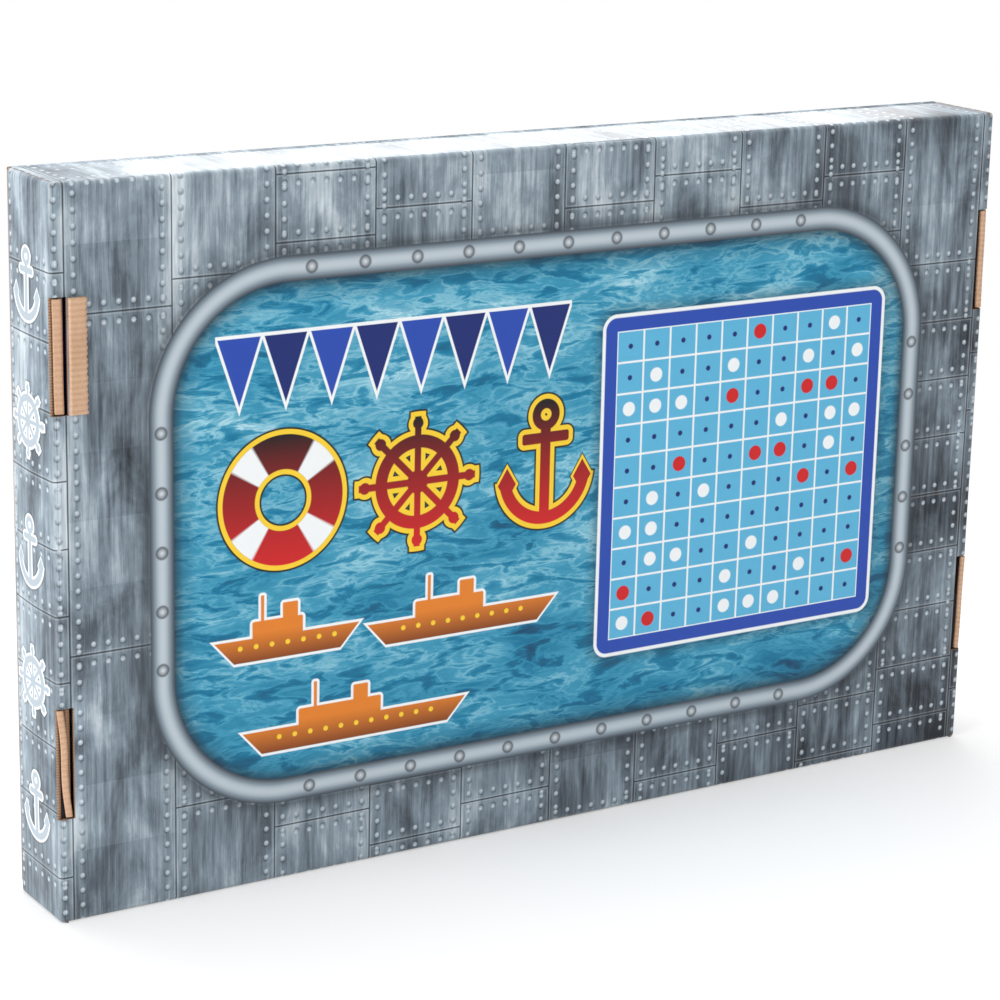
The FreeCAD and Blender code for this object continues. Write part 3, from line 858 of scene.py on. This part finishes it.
def cartonSleeve():
    # bottom wall, base panel and top wall: one path in Y and Z, carried along X
    r = carton["foldRadius"]
    rise = heights(r, cartonTall - r)
    path = cleanPath(
        run((bottomHigh[1], 0.0), (baseFace + r, 0.0), carton["spacing"]),
        bend((baseFace + r, r), r, 270, 180, 7),
        np.stack([np.full(len(rise), baseFace), rise], axis=-1),
        bend((baseFace + r, cartonTall - r), r, 180, 90, 7),
        run((baseFace + r, cartonTall), (foldY, cartonTall), carton["spacing"]),
        bend((foldY, cartonTall - board / 2), board / 2 + carton["lidFoldPlay"], 88, 45, 5))
    along = pathLength(path)
    baseStart = np.argmin(np.abs(path[:, 1] - r) + np.abs(path[:, 0] - baseFace))
    q = along - along[baseStart] + r
    reach = cartonHalf - r
    slotLeft, slotRight = [cartonHalf - inner for inner in carton["slotInner"]]
    x = rowsThrough([-reach, -slotLeft, slotRight, reach],
                    [carton["slotSpacing"], carton["spacing"], carton["slotSpacing"]])
    points = spread(x[:, None], path[None, :, 0], path[None, :, 1])
    onBase = np.abs(path[:, 0] - baseFace) < 1e-6
    lift = swell((x[:, None] + reach) / (2 * reach), path[None, :, 1] / cartonTall)
    points[..., 1] -= np.where(onBase[None, :], lift * carton["baseBow"], 0.0)
    middleX = (x[1:] + x[:-1]) / 2
    beside = onBase[1:] & onBase[:-1] & slotRows(path[:, 1])
    inSlot = (middleX < -slotLeft) | (middleX > slotRight)
    offBase = (path[1:, 0] + path[:-1, 0]) / 2 > baseFace + r * 0.99
    pastWall = np.abs(middleX) > float(topHigh[0])
    keep = ~(inSlot[:, None] & beside[None, :]) & ~(pastWall[:, None] & offBase[None, :])
    sheet = addSheet("cartonSleeve", points, spread(x[:, None], q[None, :]), boardFaces, board, keep)
    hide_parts("base_panel", "top_wall", "bottom_wall")
    return sheet


def cartonEnd(side):
    # end wall: from the base fold, up to the rim, over it and down inside to the lock tabs
    r, curl, rimFold = carton["foldRadius"], carton["edgeRound"], carton["rimFold"]
    rim = float(rimHigh[1])
    inner = cartonHalf - float(rimHigh[0] - rimLow[0])
    path = cleanPath(
        bend((cartonHalf - r, baseFace + r), r, 270, 360, 9),
        run((cartonHalf, baseFace + r), (cartonHalf, rim - rimFold), carton["spacing"]),
        bend((cartonHalf - rimFold, rim - rimFold), rimFold, 0, 90, 6),
        bend((inner + rimFold, rim - rimFold), rimFold, 90, 180, 6),
        run((inner, rim - rimFold), (inner, baseFace + board + carton["innerPlay"]), carton["spacing"]))
    along = pathLength(path)
    ends = curl * np.array([0.15, 0.35, 0.6, 1.0])
    z = heights(0.0, cartonTall, [float(rimLow[2]), float(rimHigh[2]), *ends, *(cartonTall - ends)])
    points = spread(side * path[:, None, 0], path[:, None, 1], z[None, :])
    onWall = np.abs(path[:, 0] - cartonHalf) < 1e-6
    lift = swell((path[:, None, 1] - baseFace) / (rim - baseFace), z[None, :] / cartonTall)
    points[..., 0] += np.where(onWall[:, None], side * lift * carton["endBow"], 0.0)
    past = np.clip((np.abs(z - cartonTall / 2) - cartonTall / 2 + curl) / curl, 0.0, 1.0)
    drop = curl * (1.0 - np.sqrt(1.0 - carton["edgeDrop"] * past ** 2))
    outside = along < along[np.argmax(path[:, 1])]
    points[..., 0] -= np.where(outside[:, None], side * drop[None, :], 0.0)
    blank = spread(side * (cartonHalf - r + along[:, None]), z[None, :])
    middle = (path[1:] + path[:-1]) / 2
    middleZ = (z[1:] + z[:-1]) / 2
    inSlot = (middle[:, 0] < cartonHalf) & (middle[:, 1] < baseFace + r)
    inSlot &= np.arange(len(middle)) < carton["foldRows"]
    rolled = along[:-1] > along[np.argmax(middle[:, 1])] - carton["rimShort"]
    tall = (middleZ > rimLow[2]) & (middleZ < rimHigh[2])
    keep = ~(inSlot[:, None] & slotRows(z)[None, :]) & ~(rolled[:, None] & ~tall[None, :])
    if side < 0:
        points, blank, keep = points[:, ::-1], blank[:, ::-1], keep[:, ::-1]
    word = "left" if side < 0 else "right"
    sheet = addSheet(word + "End", points, blank, boardFaces, board, keep)
    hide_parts(word + "_outer_end", word + "_inner_end")
    return sheet


def cartonLid():
    # lid panel: a path in Y and Z from the fold on the top wall down to the tuck fold
    r = board / 2
    outer = float(lidHigh[1])
    centre = (outer - r, cartonTall - r)
    path = cleanPath(
        bend(centre, r, 75, 0, 7),
        run((outer, centre[1]), (outer, float(lidLow[2])), carton["spacing"]))
    reach = float(lidHigh[0]) - carton["lidPlay"]
    x = run((0, -reach), (0, reach), carton["spacing"])[::-1, 1]
    points = spread(x[None, :], path[:, None, 0], path[:, None, 1])
    lift = swell((x[None, :] + reach) / (2 * reach), path[:, None, 1] / cartonTall)
    points[..., 1] += lift * carton["baseBow"]
    sheet = addSheet("cartonLid", points, spread(-x[None, :], path[:, None, 1]), lidFaces, board)
    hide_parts("carton_lid")
    return sheet


for sheet in (cartonSleeve(), cartonEnd(-1), cartonEnd(1)):
    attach(sheet, "carton")
lidSheet = cartonLid()
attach(lidSheet, "lid")
print("carton folded")


# the flap punched out of the upper left slot, folded back on the panel: two liners with flutes between them

slotLeaf = {
    "pitch": 0.0020,            # from flute to flute
    "liner": 0.00022,
    "waveHeight": 0.0009,
    "raggedness": 0.00016,
    "fluteRagged": 1.2,         # times that, for the flutes
    "rib": 0.000035,            # how far the flutes show in the outer liner
    "ribFade": 0.001,           # from the fold
    "spacing": 0.0008,
    "columns": 10,
    "samples": 320,
}


def leafLayer(name, level, z, x, ragged, faces):
    # one layer of the leaf: level is its Y for every x and z, and its free edge is ragged
    free = ((x - x[0]) / (x[-1] - x[0])) ** 4
    points = spread(x[:, None] + ragged[None, :] * free[:, None], level, z[None, :])
    return addSheet(name, points, points[..., [0, 2]], faces, slotLeaf["liner"])


def slotFlapPieces():
    # the outer liner comes out of the slot, rounds the fold and lies over the flutes
    z = np.linspace(flapLow[2], flapHigh[2], slotLeaf["samples"])
    phase = 2 * np.pi * (z - z[0]) / slotLeaf["pitch"]
    ragged = np.sin(phase) + 0.6 * np.sin(phase * 0.37 + 1.0) + 0.5 * np.sin(phase * 2.3)
    ragged *= slotLeaf["raggedness"]
    top, back = float(flapLow[1]), float(flapHigh[1])
    left, right = float(flapLow[0]), float(flapHigh[0])
    middle, radius = (top + back) / 2, (back - top) / 2
    path = cleanPath(
        bend((left + radius, middle), radius, 90, 270, 12),
        run((left + radius, top), (right, top), slotLeaf["spacing"]))
    fade = np.clip((path[:, 0] - left) / slotLeaf["ribFade"], 0, 1)
    ribs = slotLeaf["rib"] * np.cos(phase)[None, :] * fade[:, None]
    kraft = [boardFaces[1], boardFaces[1], boardFaces[2]]
    outer = leafLayer("slotFlapLiner", path[:, None, 1] + ribs, z, path[:, 0], ragged, kraft)
    x = np.linspace(left + radius, right, slotLeaf["columns"])
    wave = middle + slotLeaf["waveHeight"] / 2 * np.cos(phase)[None, :]
    flutes = leafLayer("slotFlapFlutes", wave, z, x, ragged * slotLeaf["fluteRagged"], kraft)
    under = leafLayer("slotFlapUnderside", np.array([[back - slotLeaf["liner"]]]), z, x, ragged, kraft)
    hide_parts("slot_flap")
    return outer, flutes, under


for leaf in slotFlapPieces():
    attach(leaf, "slot_flap")


# lock tabs of the inner end walls: each comes out through its slot and is pressed flat towards the end wall

lockTab = {
    # by side and by slot: from the end face to the tab's straight run, to its tip, and its lean
    "roots": {(-1, 0): 0.0041, (-1, 1): 0.0047, (1, 0): 0.0024, (1, 1): 0.0030},
    "tips": {(-1, 0): 0.0014, (-1, 1): 0.0011, (1, 0): 0.0004, (1, 1): 0.0004},
    "leans": {(-1, 0): 0.0013, (-1, 1): 0.0002, (1, 0): 0.0003, (1, 1): -0.0002},
    "sink": 0.0003,             # below the base panel's face
    "depth": 0.006,             # of the straight run
    "bend": 0.0011,
    "bendAngle": -80,
    "bendPlay": 0.0001,
    "tipRise": 0.0004,
    "spacings": (0.001, 0.0006),    # on the straight run, on the tip
    "wobble": (0.25, 190.0),    # share of the lean, radians per m
    "rib": 0.00003,
    "thickness": 0.0009,
    # from this depth under the tab's face down, its liner gets painted shade
    "shadedBelow": 1.1,        # mm under the tab's face
    "samples": 200,
}
# the tabs' liner: painted shade over the part that sits deep in the slot
tabLiner = kraftLiner("tabLiner", (baseFace + lockTab["sink"]) * 1000 + lockTab["shadedBelow"])


def lockTabs(side):
    # leaves with the path run, bend, run in X and Y, carried along Z and skewed by their lean
    r, face = lockTab["bend"], baseFace + lockTab["sink"]
    rootSpacing, tipSpacing = lockTab["spacings"]
    wobble, turn = lockTab["wobble"]
    half = carton["slotLength"] / 2 - carton["tabPlay"]
    z = np.linspace(-half, half, lockTab["samples"])
    rib = lockTab["rib"] * np.cos(2 * np.pi * z / slotLeaf["pitch"])
    faces = [tabLiner, tabLiner, boardFaces[2]]
    pieces = []
    for index, centre in enumerate(carton["slotCentres"]):
        root, tip, lean = [lockTab[key][side, index] for key in ("roots", "tips", "leans")]
        path = cleanPath(
            run((root, face + lockTab["depth"]), (root, face + r), rootSpacing),
            bend((root - r, face + r), r, 0, lockTab["bendAngle"], 8),
            run((root - r + lockTab["bendPlay"], face), (tip, face + lockTab["tipRise"]), tipSpacing))
        skew = lean * (-z / half + wobble * np.sin(z * turn))
        points = spread(side * (cartonHalf - path[:, None, 0] - skew[None, :]),
                        path[:, None, 1] + rib[None, :], centre + z[None, :])
        if side < 0:
            points = points[:, ::-1]
        name = "%sLockTab%d" % ("left" if side < 0 else "right", index + 1)
        pieces.append(addSheet(name, points, points[..., [0, 2]], faces, lockTab["thickness"]))
    return pieces


for side in (-1, 1):
    for leaf in lockTabs(side):
        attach(leaf, "carton")


# tuck flap: printed outside, kraft inside, on the fold at the lid's lower edge

tuck = {
    "play": 0.0003,             # at its tip
    "corner": 0.008,
    "spacing": 0.003,
    "columns": (9, 60),         # in a round corner, between the corners
    "thickness": 0.98,          # share of the board
}


def tuckFlap():
    low, high = corners("tuck_flap")
    r = board / 2
    fold = np.array([high[1] - r, low[2] + r])
    tip = np.array([low[1], high[2] - board])
    lean = np.arctan2(tip[1] + r - fold[1], fold[0] - tip[0])
    out = np.array([-np.cos(lean), np.sin(lean)])
    down = np.array([-np.sin(lean), -np.cos(lean)])
    start = fold + r * down
    reach = float(np.linalg.norm(tip - fold)) - tuck["play"]
    path = cleanPath(
        bend(fold, r, 40, -90 - np.degrees(lean), 10),
        run(start, start + out * reach, tuck["spacing"]))
    half, corner = float(high[0]), tuck["corner"]
    inCorner, between = tuck["columns"]
    x = np.unique(np.concatenate([np.linspace(-half, -half + corner, inCorner),
                                  np.linspace(-half + corner, half - corner, between),
                                  np.linspace(half - corner, half, inCorner)]))[::-1]
    deep = np.maximum((path - start) @ out, 0.0)
    inset = np.maximum(np.abs(x) - (half - corner), 0.0)
    limit = reach - corner + np.sqrt(np.maximum(corner ** 2 - inset ** 2, 0.0))
    short = deep[:, None] * (limit[None, :] / reach - 1.0)
    points = spread(x[None, :], path[:, None, 0] + short * out[0], path[:, None, 1] + short * out[1])
    blank = spread(-x[None, :], -pathLength(path)[:, None])
    sheet = addSheet("tuckFlap", points, blank, boardFaces, board * tuck["thickness"])
    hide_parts("tuck_flap")
    return sheet


tuckSheet = tuckFlap()
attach(tuckSheet, "tuck_flap")
print("flaps folded")


# contents: the nodes keep their own shapes and get moulded plastic, printed card or kraft

plastics = {
    "caseBlue": {"colour": (34, 52, 142), "rough": 0.34, "grain": 0.05},
    "hingeBlue": {"colour": (26, 40, 112), "rough": 0.4, "grain": 0.05},
    "shipBlue": {"colour": (104, 168, 214), "rough": 0.36, "grain": 0.03},
    "pegWhite": {"colour": (238, 238, 234), "rough": 0.38, "grain": 0.02},
    "pegRed": {"colour": (204, 26, 34), "rough": 0.36, "grain": 0.02},
}


def mouldedInk(paint, x, y, z, look):
    # even colour with faint flow clouds, and a fine spark-eroded grain in the gloss
    cloud = paint.noise(paint.vector(x * 0.03, y * 0.03, z * 0.03), 4.0)
    grain = paint.noise(paint.vector(x * 3.0, y * 3.0, z * 3.0), 2.0)
    base = np.array(look["colour"])
    colour = paint.mix(linear(*(base * 0.9)), linear(*np.minimum(base * 1.08, 255)), cloud)
    paint.set(Roughness=look["rough"] - 0.06 + cloud * 0.12, Specular_IOR_Level=0.5)
    paint.bump(grain * look["grain"], 0.5)
    return colour


def mouldedPlastic(name):
    paint = Paint(name)
    x, y, z = paint.spot()
    paint.set(Base_Color=mouldedInk(paint, x, y, z, plastics[name]))
    return paint.material


def dress(material, *names):
    for name in names:
        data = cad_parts[name].data
        data.materials.clear()
        data.materials.append(material)


ships = ["carrier", "cruiser", "submarine"]
ships += ["destroyer_%d" % number for number in (1, 2, 3)]
ships += ["torpedo_boat_%d" % number for number in (1, 2, 3, 4)]
cells = 10
fieldLook = {
    "deck": 5.0,                # mm, from the tray's underside
    "lineHalf": 0.45,
    "colour": linear(120, 160, 226),
}
screenLook = {
    "colours": (linear(62, 150, 206), linear(92, 178, 224)),
    "heading": linear(30, 86, 168),
    "lineHalf": 0.4,            # mm
}
cardLook = {
    "colours": [(0.3, linear(14, 62, 80)), (0.7, linear(34, 108, 124))],
    # marks under each ship and its length in mm, from the card's edge with the greatest Z
    "left": [(3, 54.0), (2, 38.0), (1, 24.0)],
    "right": [(4, 66.0), (3, 54.0)],
    "first": 46.0,              # mm, from the card's edge to the first ship
    "step": 48.0,
    "markStep": 8.0,
    "markRadius": 2.0,
    "markDrop": 11.0,           # from the ship's middle to its marks
}


def screenBox(case):
    # a screen's corners and the width of its cells, which the field below it shares
    low, high = corners(case + "_screen_panel")
    return low, high, float(high[0] - low[0]) / (cells + 1)


def trayFinish(case):
    # pale lines on the deck, between the holes
    low, high, step = [value * 1000 for value in screenBox(case)]
    middle = float(low[2] + high[2]) / 2
    deck = float(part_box(case + "_tray")[0][1]) * 1000 + fieldLook["deck"]
    paint = Paint(case + "Tray")
    x, y, z = paint.spot()
    colour = mouldedInk(paint, x, y, z, plastics["caseBlue"])
    onField = paint.inside(paint.high(abs(x), abs(z - middle)) - cells * step / 2 - 0.6, 0.2)
    onDeck = paint.inside(abs(y - deck) - 0.2, 0.1)
    gap = paint.low(abs(paint.wrap(x, step)), abs(paint.wrap(z - middle, step)))
    lines = paint.inside(gap - fieldLook["lineHalf"], 0.3) * (onField * onDeck) * 0.8
    colour = paint.mix(colour, fieldLook["colour"], lines)
    paint.set(Base_Color=colour)
    return paint.material


def screenFinish(case):
    # tinted panel with white grid lines; the heading row and column are darker
    low, _, step = [value * 1000 for value in screenBox(case)]
    paint = Paint(case + "Screen")
    x, y, z = paint.spot()
    across, along = x - float(low[0]), z - float(low[2])
    cloud = paint.noise(paint.vector(x * 0.02, y * 0.02, z * 0.02), 3.0)
    colour = paint.mix(*screenLook["colours"], cloud)
    heading = paint.high(paint.inside(cells * step - across, 0.2), paint.inside(along - step, 0.2))
    colour = paint.mix(colour, screenLook["heading"], heading)
    gap = paint.low(abs(paint.wrap(across, step)), abs(paint.wrap(along, step)))
    colour = paint.lay(colour, "white", paint.inside(gap - screenLook["lineHalf"], 0.25))
    paint.set(Base_Color=colour, Roughness=0.18 + cloud * 0.08, Coat_Weight=0.4, Coat_Roughness=0.1)
    return paint.material


def cardFinish(case, word):
    # plain ship outlines down the card, each over a mark for every hole it takes
    # the card is read like the screen, with -Z up
    low, high = [corner * 1000 for corner in corners("%s_%s_card" % (case, word))]
    middle = float(low[0] + high[0]) / 2
    paint = Paint("%s%sCard" % (case, word.capitalize()))
    x, y, z = paint.spot()
    cloud = paint.noise(paint.vector(x * 0.05, z * 0.05), 5.0, 0.6)
    colour = paint.ramp(cloud, cardLook["colours"])
    markHalf = cardLook["markStep"] / 2
    for index, (marks, size) in enumerate(cardLook[word]):
        level = float(high[2]) - cardLook["first"] - index * cardLook["step"]
        outline = shipGap(paint, -x, -z, (-middle, -level), size)
        colour = paint.lay(colour, "white", paint.inside(outline, 0.3) * 0.9)
        beyond = abs(x - middle) - marks * markHalf
        across = paint.wrap(x - middle - marks * markHalf + markHalf, cardLook["markStep"])
        dot = paint.length(across, z - level - cardLook["markDrop"]) - cardLook["markRadius"]
        colour = paint.lay(colour, "yellow", paint.inside(dot, 0.3) * paint.inside(beyond, 0.2))
    paint.set(Base_Color=colour, Roughness=0.45)
    paint.bump(cloud * 0.05, 0.3)
    return paint.material


screenNumber = {
    "size": 0.0085,             # height of the figures' em
    "lift": 0.00006,            # off the panel's face
    "colour": (238, 242, 244),
    "curveSteps": 3,
}


def figureMesh(word):
    # points and faces of a centred line of figures, in its own plane
    curve = bpy.data.curves.new("figure", "FONT")
    curve.body = word
    curve.size = screenNumber["size"]
    curve.align_x, curve.align_y = "CENTER", "CENTER"
    curve.resolution_u = screenNumber["curveSteps"]
    holder = bpy.data.objects.new("figure", curve)
    data = bpy.data.meshes.new_from_object(holder)
    points = np.array([vertex.co[:2] for vertex in data.vertices])
    faces = [list(polygon.vertices) for polygon in data.polygons]
    bpy.data.objects.remove(holder)
    bpy.data.curves.remove(curve)
    bpy.data.meshes.remove(data)
    return points, faces


def screenNumbers(case, material):
    # 1 to 10 along the heading row and column
    # the screen is read with its lower edge swung up, so right is -X and up is -Z
    low, high, step = screenBox(case)
    face = float(low[1]) - screenNumber["lift"]
    allPoints, allFaces = [], []
    for number in range(1, cells + 1):
        points, faces = figureMesh(str(number))
        inRow = (high[0] - step * (number + 0.5), low[2] + step * 0.5)
        inColumn = (high[0] - step * 0.5, low[2] + step * (number + 0.5))
        for x, z in (inRow, inColumn):
            start = sum(len(part) for part in allPoints)
            allPoints.append(spread(x - points[:, 0], face, z - points[:, 1]))
            allFaces += [[index + start for index in polygon] for polygon in faces]
    data = bpy.data.meshes.new(case + "ScreenNumbers")
    data.from_pydata(np.concatenate(allPoints).tolist(), [], allFaces)
    data.materials.append(material)
    piece = bpy.data.objects.new(case + "ScreenNumbers", data)
    scene.collection.objects.link(piece)
    return piece


def numberInk():
    paint = Paint("numberInk")
    paint.set(Base_Color=linear(*screenNumber["colour"]), Roughness=0.4)
    return paint.material


numberWhite = numberInk()
for case, body in (("lower", "carton"), ("upper", "upper_case_lid")):
    figures = screenNumbers(case, numberWhite)
    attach(figures, body)

moulded = {name: mouldedPlastic(name) for name in plastics}
for case in ("lower", "upper"):
    dress(trayFinish(case), case + "_tray")
    dress(moulded["caseBlue"], case + "_screen_lid")
    dress(screenFinish(case), case + "_screen_panel")
    for word in ("left", "right"):
        dress(cardFinish(case, word), "%s_%s_card" % (case, word))
    dress(moulded["hingeBlue"], case + "_hinge_pins")
    dress(moulded["shipBlue"], *[case + "_" + ship for ship in ships])
    dress(moulded["pegWhite"], case + "_white_pegs")
    dress(moulded["pegRed"], case + "_red_pegs")
# the corner flaps get painted shade all over, dark as they look through the slots
flapShade = kraftLiner("flapShade", baseFace * 1000 - 10.0)     # in front of the carton, so dark all over
for corner in ("top_left", "top_right", "bottom_left", "bottom_right"):
    dress(flapShade, corner + "_corner_flap")
print("contents dressed")
